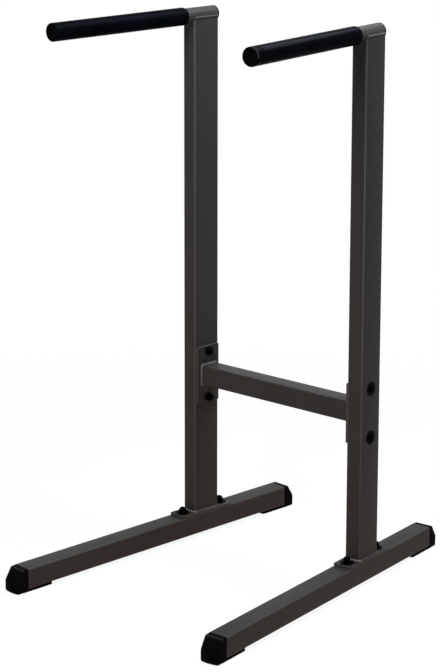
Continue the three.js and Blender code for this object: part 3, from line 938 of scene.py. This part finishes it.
def hex_nut():
    return bored(hexagon("nut"), depth=0.02)


def cap_nut():
    """A nut closed by a dome."""
    root, radius, shoulder, rise = 0.0005, 0.0078, 0.0082, 0.0063
    dome = [(0, root), (radius, root), (radius, shoulder)]
    dome += [(radius * math.cos(a), shoulder + rise * math.sin(a)) for a in quarter_steps(10)]
    nut = hexagon("cap_nut", both_ends=False)
    carve(nut, "UNION", turned("dome", dome, steps=64))
    return bored(nut, depth=0.011)


# Setting the pieces on the stand
def settle(piece, finish, slot, *nodes):
    """Gives a finished piece its finish, and sets it on the frame in its nodes' place. The slot is not
    used.
    """
    piece.data.materials.clear()
    piece.data.materials.append(finish)
    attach(piece, "root")
    if nodes:
        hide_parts(*nodes)


def side_matrix(sign):
    """The place of the right side frame, or of the left one, which is its mirror image."""
    place = Matrix.Translation((sign * SPACING / 2, FRAME_Y, 0))
    return place @ Matrix.Rotation(sign * SPLAY, 4, "Z") @ Matrix.Diagonal((sign, 1, 1, 1))


def on_both(piece, name, finish, slot, spots=(("", Matrix.Identity(4)),), node=True):
    """Copies a piece to its spots on both side frames, each copy in place of its node if it has one."""
    for side, sign in SIDES:
        for spot, matrix in spots:
            copy = copy_of(piece, f"{side}_{name}{spot}_dressed", side_matrix(sign) @ matrix)
            settle(copy, finish, slot, *([f"{side}_{name}{spot}"] if node else []))
    bpy.data.objects.remove(piece)


def chance_turn():
    return Matrix.Rotation(CHANCE.uniform(0, 1), 4, "Z")


def over_plate(z):
    """Places of turned pieces round the two base bolts at a height, each turned a little by chance."""
    return [(spot, Matrix.Translation((0, y, z)) @ chance_turn()) for spot, y in BASE_BOLTS]


def through_flange(x):
    """Places of turned pieces on the two flange bolts, with their height towards -X."""
    lie = Matrix.Rotation(-math.pi / 2, 4, "Y")
    return [
        (spot, Matrix.Translation((x, 0, BAR_Z + rise)) @ lie @ chance_turn())
        for spot, rise in FLANGE_BOLTS
    ]


def dress_frames(coat):
    on_both(foot_tube(), "foot_tube", coat, "frame_paint")
    on_both(base_plate(), "base_plate", coat, "frame_paint")
    on_both(upright_tube(), "upright_tube", coat, "frame_paint")
    on_both(handle_tube(), "handle_tube", coat, "frame_paint")
    on_both(crossbar_flange(), "crossbar_flange", coat, "frame_paint")
    on_both(base_weld(), "base_weld", coat, "frame_paint", node=False)
    on_both(saddle_weld(), "saddle_weld", coat, "frame_paint", node=False)


def dress_mouldings(vinyl, plastic, rubber):
    on_both(grip(), "grip", vinyl, "grip_vinyl")
    gap = SEAT + PLUG_FLANGE
    front, rear = on_handle(HANDLE_FRONT - gap, -1), on_handle(HANDLE_REAR + gap, 1)
    on_both(handle_plug(), "handle_", plastic, "plug_plastic", (("front_plug", front), ("rear_plug", rear)))
    front = Matrix.Translation((0, FOOT_FRONT - SEAT, 0))
    rear = Matrix.Translation((0, FOOT_REAR + SEAT, 0)) @ Matrix.Rotation(math.pi, 4, "Z")
    on_both(foot_cap(), "foot_", rubber, "cap_rubber", (("front_cap", front), ("rear_cap", rear)))


def dress_fasteners(steel):
    def fit(piece, name, spots):
        on_both(piece, name, steel, "black_steel", spots)

    coach_length, button_length = 0.0680, 0.0625
    in_foot = [(spot, Matrix.Translation((0, y, SOLE))) for spot, y in BASE_BOLTS]
    fit(coach_bolt(coach_length), "base_bolt", in_foot)
    fit(washer("base_washer", *WIDE_WASHER), "base_washer", over_plate(PLATE_TOP))
    fit(cap_nut(), "base_cap_nut", over_plate(PLATE_TOP + WIDE_WASHER[1]))
    fit(washer("outer_washer", *WIDE_WASHER), "outer_washer", through_flange(OUTER_WASHER_X))
    fit(button_bolt(button_length), "flange_bolt", through_flange(OUTER_WASHER_X + SEAT))
    fit(washer("inner_washer", *SMALL_WASHER), "inner_washer", through_flange(FLANGE_FACE))
    fit(hex_nut(), "flange_nut", through_flange(FLANGE_FACE - SMALL_WASHER[1] - SEAT))


def dress_crossbar(coat):
    settle(crossbar(), coat, "frame_paint", "crossbar_tube")
    weld = crossbar_weld()
    for side, sign in SIDES:
        mirrored = Matrix.Translation((0, FRAME_Y, 0)) @ Matrix.Diagonal((sign, 1, 1, 1))
        settle(copy_of(weld, f"{side}_crossbar_weld", mirrored), coat, "frame_paint")
    bpy.data.objects.remove(weld)


# Studio
def light_up(scene):
    """The world: soft and even on the stand, plain white behind it and in what it reflects."""
    world = bpy.data.worlds.new("studio")
    scene.world = world
    world.use_nodes = True
    sky = Nodes(world.node_tree)
    plain = sky.tree.nodes["Background"]
    sky.fill(plain.inputs["Color"], (1.0, 1.0, 1.0, 1))
    sky.fill(plain.inputs["Strength"], 0.20)
    white = sky.node("ShaderNodeBackground", {"Color": (1.0, 1.0, 1.0, 1), "Strength": 1.0})
    rays = sky.node("ShaderNodeLightPath").outputs
    seen = sky.greater(rays["Is Camera Ray"], rays["Is Glossy Ray"])
    sky.join(sky.greater(seen, rays["Is Transmission Ray"]), plain, white, "World Output")


def lay_floor():
    """A pale floor, white to the camera but for the stand's soft shadow. Where it lights the stand it is
    warm close by and neutral further off."""
    bpy.ops.mesh.primitive_plane_add(size=24, location=(0, 0, 0))
    floor = bpy.context.object
    floor.name = "floor"
    ground = Finish("pale_floor")
    warm, neutral = (0.98, 0.54, 0.36, 1), (0.80, 0.80, 0.81, 1)
    far = ground.node("ShaderNodeVectorMath", {0: ground.place}, operation="LENGTH").outputs["Value"]
    rays = ground.node("ShaderNodeLightPath").outputs
    seen = ground.greater(rays["Is Camera Ray"], rays["Is Glossy Ray"])
    cool = ground.greater(ground.spread(far, 0.0, 1.0, 0.3, 1.3), seen)
    ground.set(Base_Color=ground.blend(cool, warm, neutral), Roughness=0.9, Specular_IOR_Level=0.0)
    glow = ground.node("ShaderNodeEmission", {"Color": (1.0, 1.0, 1.0, 1), "Strength": 1.0})
    plain = ground.spread(far, 0.90, 1.0, 0.7, 2.2, interpolation_type="SMOOTHSTEP")
    ground.join(ground.product(plain, seen), ground.shader, glow, "Material Output")
    floor.data.materials.append(ground.material)


def hang_lamp(name, place, aim, side, watts, colour=(1, 1, 1)):
    """A square soft lamp that faces a point."""
    data = bpy.data.lights.new(name, "AREA")
    data.shape = "RECTANGLE"
    data.size = data.size_y = side
    data.energy = watts
    data.color = colour
    lamp = bpy.data.objects.new(name, data)
    bpy.context.scene.collection.objects.link(lamp)
    lamp.location = place
    lamp.rotation_euler = (Vector(place) - Vector(aim)).to_track_quat("Z", "Y").to_euler()


def main():
    set_camera()
    coat, vinyl, rubber = powder_coat(), grip_vinyl(), cap_rubber()
    plastic, steel = plug_plastic(), blackened_steel()
    dress_frames(coat)
    dress_mouldings(vinyl, plastic, rubber)
    dress_fasteners(steel)
    dress_crossbar(coat)
    bpy.context.scene.view_settings.view_transform = "Standard"
    light_up(bpy.context.scene)
    lay_floor()
    cool = (0.88, 0.99, 1.10)
    hang_lamp("front", place=(0.45, -2.4, 3.2), aim=(0, 0, 0.8), side=1.0, watts=105)
    hang_lamp("right", place=(2.4, 0.2, 3.2), aim=(0, 0, 1.0), side=1.8, watts=22)
    hang_lamp("overhead", place=(0.27, 0.82, 2.34), aim=(0, 0.1, 0.4), side=1.1, watts=50, colour=cool)


main()
